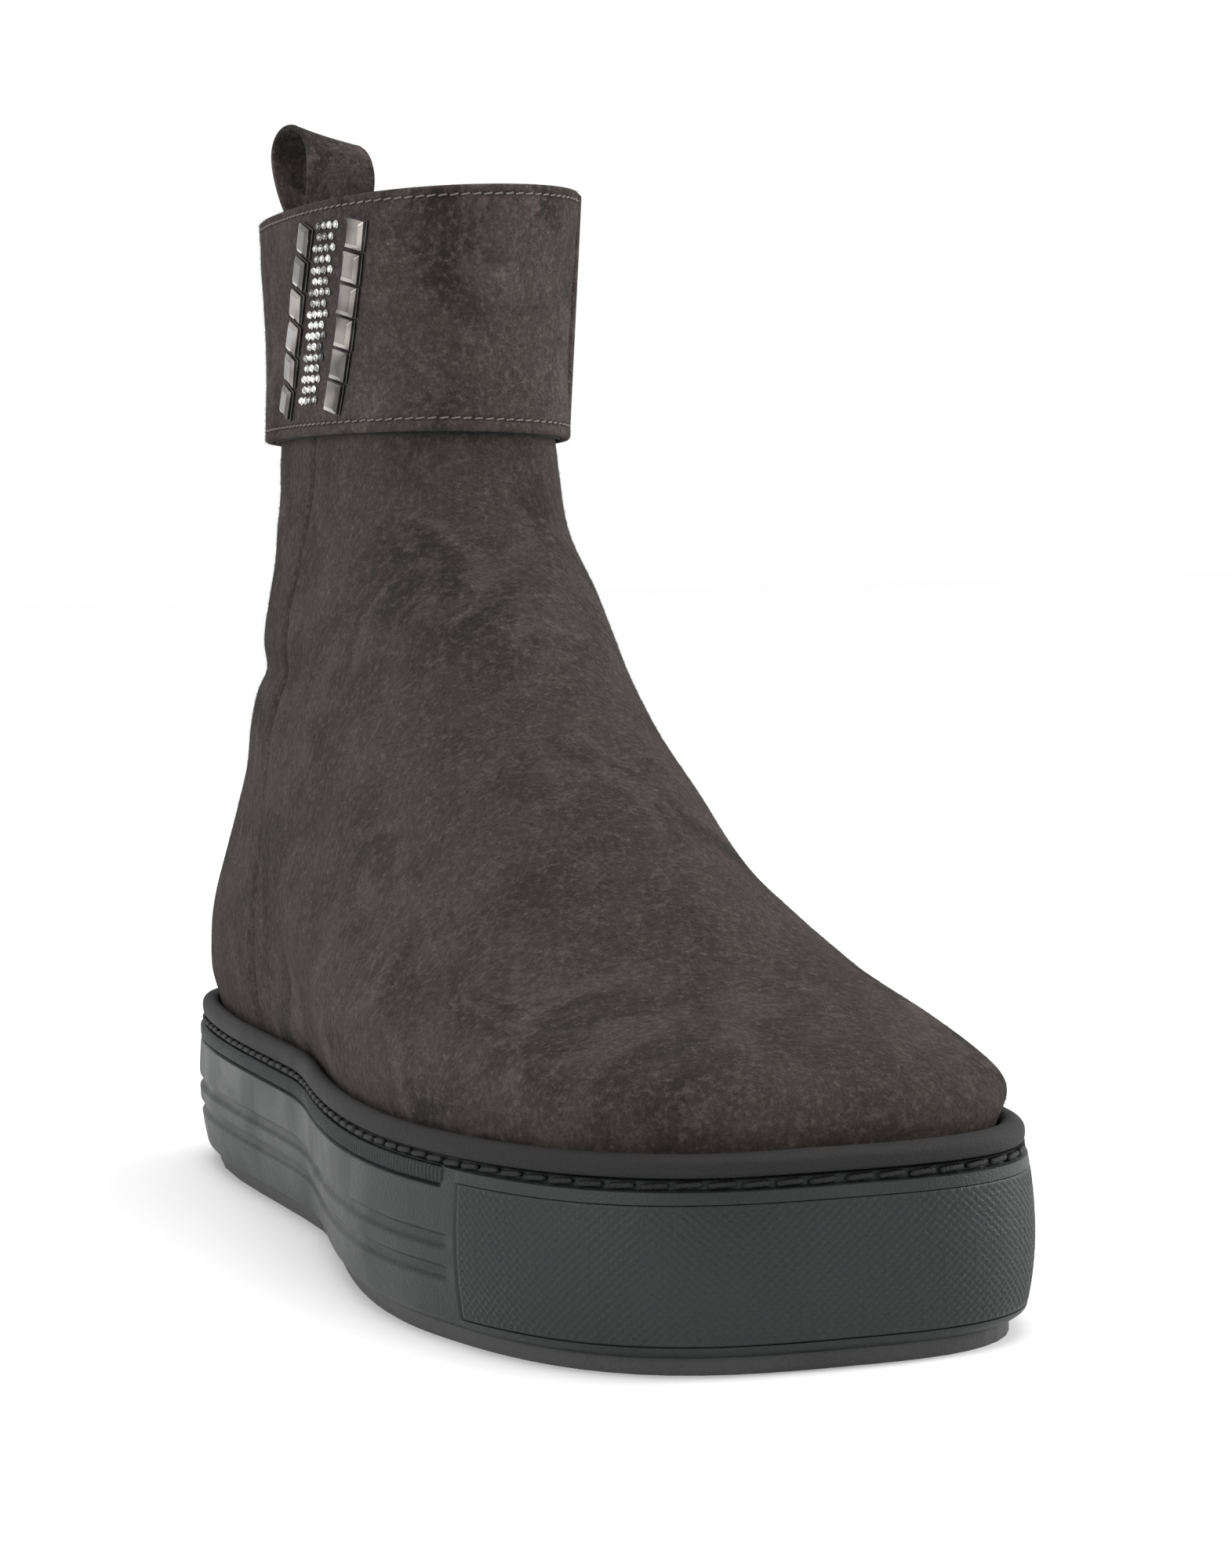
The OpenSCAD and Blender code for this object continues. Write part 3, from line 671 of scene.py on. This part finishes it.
def build_quarter():
    """Back panel, which dives under the front panel at the seam."""
    z = upper_levels(230)
    a0 = inner_angle(ZIP_Y + ZIP_GAP, z)
    a1 = outer_angle(SEAM_BACK - SEAM_LAP, z)
    deg, z2 = span_grid(a0, a1, z, np.linspace(0, 1, 240))
    relief = creases(deg, z2)
    y = upper(deg, z2)[..., 1]
    under = np.where(deg > 180, smooth((SEAM_BACK + 3.5 - y) / 3.5), 0)
    outer = skin(deg, z2, relief + under * HID_OUT)
    inner = skin(deg, z2, relief + under * HID_IN - (1 - under) * SUEDE_T)
    make("quarter_suede", *sheet_mesh(outer, inner), BOOT, SUEDE, "suede", "quarter", sharp=0)


def build_zip_base():
    """Suede piece that closes the gap under the zip."""
    half, u = 3.8, np.linspace(0, 1, 16)
    z = np.linspace(UP_BOT, ZIP_LOW - 1, 60)
    deg, z2 = span_grid(inner_angle(ZIP_Y - half, z), inner_angle(ZIP_Y + half, z), z, u)
    crown = 0.25 * np.sin(math.pi * u)[None, :]
    wall = sheet_mesh(skin(deg, z2, crown - 0.1), skin(deg, z2, -SUEDE_T))
    make("zip_base_suede", *wall, BOOT, SUEDE, "suede", "zip_base_patch")


def build_inside():
    """Lining all round, and the tape over the top edge."""
    z = upper_levels(60)
    deg = at_run(np.linspace(0, RUN[-1], 200, endpoint=False))
    d2, z2 = np.meshgrid(deg, z)
    tube = sheet_mesh(skin(d2, z2, LIN_OUT), skin(d2, z2, LIN_IN), ring=True)
    make("lining_tube", *tube, BOOT, LINING, "lining", "lining", sharp=60)
    deg = np.linspace(-196, 104, 260)
    section = [(0.0, -0.1), (2.6, -0.1), (3.1, -0.4), (3.2, -0.8), (2.9, -1.15), (0.0, -1.2)]
    rows = np.stack([skin(deg, SHAFT_TOP + 0.2 + h, d) for h, d in section], 1)
    make("topline_tape", *sweep_mesh(rows), BOOT, SUEDE, "suede", "topline_binding", sharp=60)


# ---------------------------------------------------------------- cuff


def folded_section(depth_out, depth_in, n=26):
    """Closed section of a folded band: (share of the height, offset, height shift in mm)."""
    r = (depth_out - depth_in) / 2
    mid = (depth_out + depth_in) / 2
    even = np.linspace(0.03, 0.97, n)
    close = np.linspace(-0.02, 0.02, 11)
    shares = np.unique(np.concatenate([even, STITCH_LOW + close[2:], STITCH_HIGH + close[:8]]))
    fold = np.linspace(0, math.pi, 9)[1:-1]
    pts = [(f, depth_out, 0.0) for f in shares]
    pts += [(1.0, mid + r * math.cos(a), r * (math.sin(a) - 1)) for a in fold]
    pts += [(f, depth_in, 0.0) for f in np.linspace(0.97, 0.03, n)]
    pts += [(0.0, mid - r * math.cos(a), r * (1 - math.sin(a))) for a in fold]
    return pts


def cuff_wave(deg, z):
    """Slow unevenness of the padded cuff."""
    p = upper(deg, z)
    return 0.24 * waves(p, 34, 21) + 0.05 * waves(p, 8, 22)


def cuff_relief(deg, z, f, amount=1.0):
    """Edge ridges, a dip along each stitch row, and a slow wave."""
    dip, dip_width, ridge = 0.42, 0.009, 0.12
    low_row = dip * np.exp(-((f - STITCH_LOW) / dip_width) ** 2)
    high_row = dip * np.exp(-((f - STITCH_HIGH) / dip_width) ** 2)
    rows = -low_row - high_row
    edge = ridge * np.exp(-((f - 0.02) / 0.015) ** 2) + ridge * np.exp(-((f - 0.985) / 0.012) ** 2)
    return amount * (rows + edge + cuff_wave(deg, z))


def band(name, a0, a1, n, d_out, d_in, body, node, amount=1.0, mat=CUFF_SUEDE_PAINTED_LIGHTER, slot="suede"):
    """Folded band round the shaft from one angle to another, thinner at its two ends."""
    deg = np.linspace(a0, a1, n)
    per_degree, round_off = 0.6, 0.8
    u = (deg - a0) * per_degree
    v = (a1 - deg) * per_degree
    end = 1 - 0.75 * (1 - smooth(u / round_off)) ** 2 - 0.75 * (1 - smooth(v / round_off)) ** 2
    mid = (d_out + d_in) / 2
    rows = []
    for f, d, dz in folded_section(d_out, d_in):
        z = cuff_z(deg, f) + dz
        relief = cuff_relief(deg, z, f, amount) if d > mid else 0.0
        rows.append(skin(deg, z, mid + (d - mid) * end + relief * end))
    return make(name, *sweep_mesh(np.stack(rows, 1)), body, mat, slot, node, sharp=0)


def stitch_run(a0, a1, f, amount=1.0):
    """Thread dashes lying in the dip of one stitch row."""
    deg = np.linspace(a0, a1, 900)
    p = skin(deg, cuff_z(deg, f), CUFF_OUT)
    run = run_along(p)
    parts = []
    s = 1.0
    while s < run[-1] - 1.0:
        ends = []
        for shift, dz in ((-STITCH_LEN / 2, -0.1), (STITCH_LEN / 2, 0.1)):
            a = float(np.interp(s + shift, run, deg))
            z = float(cuff_z(a, f)) + dz
            ends.append(skin(a, z, CUFF_OUT - 0.1 + amount * float(cuff_wave(a, z))))
        parts.append(capsule(*ends, 0.21, 6))
        s += STITCH_PITCH
    return parts


def nap(name, deg, z, out, body, material, seed):
    """Short fibres standing off a surface, one thin triangle each."""
    rng = np.random.RandomState(seed)
    n = len(deg)
    along, up, normal = skin_frame(deg, z)
    root = skin(deg, z, out - 0.1)
    spin = rng.uniform(0, 2 * math.pi, n)[:, None]
    side = np.cos(spin) * along + np.sin(spin) * up
    lean = rng.normal(0, 0.7, (n, 1)) * along + rng.normal(-0.3, 0.7, (n, 1)) * up
    tip = root + unit(normal + lean) * rng.uniform(0.3, 0.65, (n, 1))
    half = 0.045
    verts = np.stack([root - half * side, root + half * side, tip], 1).reshape(-1, 3)
    faces = np.arange(3 * n).reshape(-1, 3).tolist()
    return make(name, verts, faces, body, material, "suede", sharp=0)


def build_nap():
    """Fibres over the upper and the cuff, kept off the zip and the stones."""
    rng = np.random.RandomState(31)
    n = 90000
    z = rng.uniform(37, 151, n)
    deg = rng.uniform(0, 360, n)
    y = upper(deg, z)[:, 1]
    clear = (deg > 180) | (np.abs(y - ZIP_Y) > 6)
    deg, z = deg[clear], z[clear]
    nap("upper_nap", deg, z, creases(deg, z), BOOT, SUEDE, 32)
    n //= 3
    deg = rng.uniform(FLAP_A + 3.5 - 360, BEAD_A - 5, n)
    f = rng.uniform(0.0, 1.0, n)
    z = cuff_z(deg, f)
    a = deg % 360
    stones = (a > STONE_ARC[0]) & (a < STONE_ARC[1]) & (z > STONE_SPAN[0]) & (z < STONE_SPAN[1])
    deg, z = deg[~stones], z[~stones]
    nap("cuff_nap", deg, z, CUFF_OUT + cuff_wave(deg, z), BOOT, CUFF_SUEDE_PAINTED_LIGHTER, 33)


def build_cuff():
    """Fixed part of the cuff, from behind the flap round the outer side to the flap's fold."""
    a0, a1 = FLAP_A + 3 - 360, BEAD_A - 4.4
    band("cuff_band_suede", a0, a1, 420, CUFF_OUT, CUFF_IN, BOOT, "cuff_band")
    parts = stitch_run(a0 + 1.5, a1 - 1.0, STITCH_LOW) + stitch_run(a0 + 1.5, a1 - 1.0, STITCH_HIGH)
    make("cuff_stitches", *merge(parts), BOOT, TAUPE, "thread_taupe", "cuff_stitching", sharp=0)
    pad = band("cuff_pad_foam", a0 + 1.5, a1 - 1.5, 200, 1.3, 0.15, BOOT, "cuff_pad", 0, TAPE, "foam")


def build_flap():
    """Cuff flap over the zip, and the round fold that it turns on."""
    calm = 0.6
    band("flap_suede", BEAD_A + 2.1, FLAP_A, 120, CUFF_OUT, 1.75, FLAP, "flap_outer", calm)
    band("flap_lining_cloth", BEAD_A + 2.4, FLAP_A - 1, 80, 1.65, 1.15, FLAP, "flap_lining", 0, LINING,
         "lining")
    ends = BEAD_A + 3, FLAP_A - 1
    parts = stitch_run(*ends, STITCH_LOW, calm) + stitch_run(*ends, STITCH_HIGH, calm)
    make("flap_stitches", *merge(parts), FLAP, TAUPE, "thread_taupe", "flap_stitching", sharp=0)
    bead_depth, bead_r = 1.65, 1.33
    p = skin(BEAD_A, cuff_z(BEAD_A, 0), bead_depth)
    q = skin(BEAD_A, cuff_z(BEAD_A, 1), bead_depth)
    d = unit(q - p)
    u = unit(np.cross(d, [1.0, 0, 0]))
    v = np.cross(d, u)
    t = np.linspace(0, 2 * math.pi, 32, endpoint=False)
    ring = np.cos(t)[:, None] * u + np.sin(t)[:, None] * v
    length = np.linalg.norm(q - p)
    steps = [(0, 0.6), (0.12, 0.95), (0.45, 1.25), (1.0, bead_r)]
    profile = steps + [(s, bead_r) for s in np.linspace(3, length - 3, 12)]
    profile += [(length - s, r) for s, r in steps[::-1]]
    rows = np.array([p + d * s + ring * r for s, r in profile])
    make("flap_fold", *sweep_mesh(rows), FLAP, CUFF_SUEDE_PAINTED_LIGHTER, "suede", "flap_bead", sharp=0)


def build_loop():
    """Drop-shaped strap that follows the collar at its foot and straightens towards its top."""
    half_open, leg = 9.5, 0.75
    t = np.radians(np.linspace(12, 348, 70))
    out = half_open * np.sin(t) * np.sin(t / 2) ** 1.3
    out = np.where(np.abs(out) > leg, out, np.where(out < 0, -leg, leg))
    path = np.stack([out, LOOP_H * (1 - np.cos(t)) / 2], 1)
    d = unit(np.gradient(path, axis=0))
    side = np.stack([d[:, 1], -d[:, 0]], 1)
    wide, thick, edge = LOOP_W / 2, 0.62, 0.15
    face = np.linspace(-wide + 0.6, wide - 0.6, 25)
    across = [(w, thick - 0.12 * math.exp(-((abs(w) - wide + 1.5) / 0.3) ** 2)) for w in face]
    across += [(wide - edge, thick * 0.7), (wide, 0.0), (wide - edge, -thick * 0.7)]
    across += [(w, -thick) for w in face[::-1]]
    across += [(-wide + edge, -thick * 0.7), (-wide, 0.0), (-wide + edge, thick * 0.7)]
    rows = []
    for w, e in across:
        p = path + e * side
        flat = 1 - 0.5 * smooth(p[:, 1] / LOOP_H)
        lift = 0.24 * w * smooth((p[:, 1] - 6) / 12)
        rows.append(np.stack([np.full(len(p), w), p[:, 1] + lift, p[:, 0] - flat * w * w / 36], 1))
    local = np.stack(rows, 1)
    place = on_skin(LOOP_A, SHAFT_TOP + 0.3, -3.1)
    strap = sweep_mesh(place(local)[:, ::-1])
    make("pull_loop_strap", *strap, BOOT, CUFF_SUEDE_PAINTED_LIGHTER, "suede", "pull_loop", sharp=0)


# ---------------------------------------------------------------- stones


def tilted(tilt):
    """Placing function that slopes a flat stone's face."""
    return lambda v: v + np.stack([0 * v[..., 0], 0 * v[..., 1], v[..., :2] @ tilt], -1)


def flat_stones(rng):
    """Two leaning columns of flat stones, each with a slightly tilted face, and their settings."""
    stones, settings = [], []
    top_z, pitch, count = 193.7, 6.4, 6
    for y0, step, lean in ((39.9, 1.62, -14.2), (57.1, 2.59, -22.0)):
        for k in range(count):
            z = top_z - pitch * k
            a = float(outer_angle(y0 + step * k, z))
            base = CUFF_OUT + 0.1 + float(cuff_wave(a, z))
            settings.append(block((5.3, 6.15, 0.45), on_skin(a, z, base, lean)))
            slope = tilted(rng.uniform(-0.05, 0.05, 2))
            points, faces = block((5.0, 5.8, 1.25), slope, 0.1, 0.85, 0.55)
            stones.append((on_skin(a, z, base + 0.35, lean)(points), faces))
    return stones, settings


def round_stones(rng):
    """Plain staggered lattice of small faceted stones, four and three to a row."""
    stones = []
    top_z, row_pitch, pitch, drift = 196, 2.15, 2.1, 0.65
    facets = ((0, 0.8, 0), (0.3, 0.85, 0), (0.65, 0.62, 0.39), (0.85, 0.34, 0.39))
    t = np.linspace(0, 2 * math.pi, 8, endpoint=False)
    for r in range(17):
        z = top_z - row_pitch * r
        shift = 0 if r % 2 == 0 else pitch / 2
        for c in range(4 - r % 2):
            a = float(outer_angle(45.4 + pitch * c + shift + drift * r, z))
            place = on_skin(a, z, CUFF_OUT + 0.05 + float(cuff_wave(a, z)), rng.uniform(0, 60))
            rows = [[(rad * math.cos(x + turn), rad * math.sin(x + turn), h) for x in t]
                    for h, rad, turn in facets]
            stones.append(sweep_mesh(place(np.array(rows))))
    return stones


def build_stones():
    rng = np.random.RandomState(8)
    bars, settings = flat_stones(rng)
    dots = round_stones(rng)
    make("stone_bar_settings", *merge(settings), BOOT, GUNMETAL, "zip_metal", sharp=20)
    make("stone_bars_cut", *merge(bars), BOOT, STONE, "stone", "stone_bars", sharp=5)
    make("stone_dots_cut", *merge(dots), BOOT, CLEAR, "clear_stone", "stone_dots", sharp=5)


# ---------------------------------------------------------------- parts kept from the CAD


def dress(node, material, bevel=0.0):
    """Material, and rounded edges in millimetres, for a node that keeps its CAD shape."""
    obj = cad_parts[node]
    obj.data.materials.clear()
    obj.data.materials.append(material)
    obj.data.set_sharp_from_angle(angle=math.radians(30))
    if bevel:
        mod = obj.modifiers.new("edges", "BEVEL")
        mod.width = bevel * MM
        mod.segments = 3
        mod.limit_method = "ANGLE"


def dress_cad():
    dress("outsole_tread", TREAD, 0.5)
    dress("foam_core", FOAM)
    dress("shank", STEEL)
    dress("insole_board", BOARD)
    dress("footbed", LINING, 0.8)
    for n in ("heel_counter", "toe_puff"):
        dress(n, BOARD)
    for n in ("loop_patch", "hook_patch", "zip_tape_front", "zip_tape_back"):
        dress(n, TAPE)
    for n in ("zip_teeth", "zip_stop_low", "zip_stops_high"):
        dress(n, GUNMETAL, 0.2)
    for n in ("zip_slider", "zip_puller"):
        dress(n, GUNMETAL, 0.35)


# ---------------------------------------------------------------- camera, light and floor


def build_camera():
    """Low viewpoint, close to the toe and a little to the outer side."""
    azimuth, away, eye = math.radians(-16.7), 768.0, 138.6
    yaw, pitch, roll = math.radians(-1.685), math.radians(3.885), math.radians(-1.23)
    psi = azimuth + yaw
    ahead = Vector((-math.sin(psi) * math.cos(pitch), math.cos(psi) * math.cos(pitch), -math.sin(pitch)))
    right = Vector((math.cos(psi), math.sin(psi), 0))
    up = right.cross(ahead)
    r2 = right * math.cos(roll) + up * math.sin(roll)
    u2 = up * math.cos(roll) - right * math.sin(roll)
    cam = bpy.data.objects.new("camera", bpy.data.cameras.new("camera"))
    cam.data.lens = 92.81
    cam.data.sensor_width = 36
    cam.data.clip_start, cam.data.clip_end = 0.02, 30
    spot = Vector((away * math.sin(azimuth) - CX, -away * math.cos(azimuth), eye)) * MM
    cam.matrix_world = Matrix.Translation(spot) @ Matrix((r2, u2, -ahead)).transposed().to_4x4()
    bpy.context.scene.collection.objects.link(cam)
    bpy.context.scene.camera = cam


def area_light(name, spot, target, size, power):
    """Round soft light, aimed at a target."""
    data = bpy.data.lights.new(name, "AREA")
    data.shape, data.size, data.energy = "DISK", size, power
    obj = bpy.data.objects.new(name, data)
    obj.location = spot
    obj.rotation_mode = "QUATERNION"
    obj.rotation_quaternion = (Vector(target) - Vector(spot)).to_track_quat("-Z", "Y")
    bpy.context.scene.collection.objects.link(obj)


def build_floor():
    """Plain pale floor, wide enough to fill the view."""
    mesh = bpy.data.meshes.new("floor")
    s = 6.0
    mesh.from_pydata([(-s, -s, 0), (s, -s, 0), (s, s, 0), (-s, s, 0)], [], [(0, 1, 2, 3)])
    floor = bpy.data.objects.new("floor", mesh)
    bpy.context.scene.collection.objects.link(floor)
    m, tree, shader = new_material("floor")
    cloud = spread(tree, noise(tree, 2, 2), 0.3, 0.7)
    white = mix(tree, cloud, (0.985, 0.985, 0.985), (0.995, 0.995, 0.995))
    tree.links.new(white, shader.inputs["Base Color"])
    socket(shader, "Roughness", 0.9)
    mesh.materials.append(m)


def build_lights():
    """White surroundings with three soft lights."""
    world = bpy.data.worlds.new("studio")
    bpy.context.scene.world = world
    world.use_nodes = True
    back = world.node_tree.nodes["Background"]
    back.inputs["Color"].default_value = (1, 1, 1, 1)
    back.inputs["Strength"].default_value = 1.0
    area_light("left", (-0.9, -0.35, 0.45), (0, 0, 0.09), 0.6, 3)
    area_light("right", (0.95, -0.15, 0.5), (0, 0, 0.1), 0.6, 8)
    area_light("top", (0.0, -0.1, 1.3), (0, 0, 0.1), 0.9, 4.5)
    bpy.context.scene.view_settings.view_transform = "Standard"


build_camera()
build_cup()
build_toe_panel()
build_ribs()
build_lip()
build_welt_stitches()
build_vamp()
build_quarter()
build_zip_base()
build_inside()
build_cuff()
build_flap()
build_nap()
build_loop()
build_stones()
dress_cad()
build_floor()
build_lights()
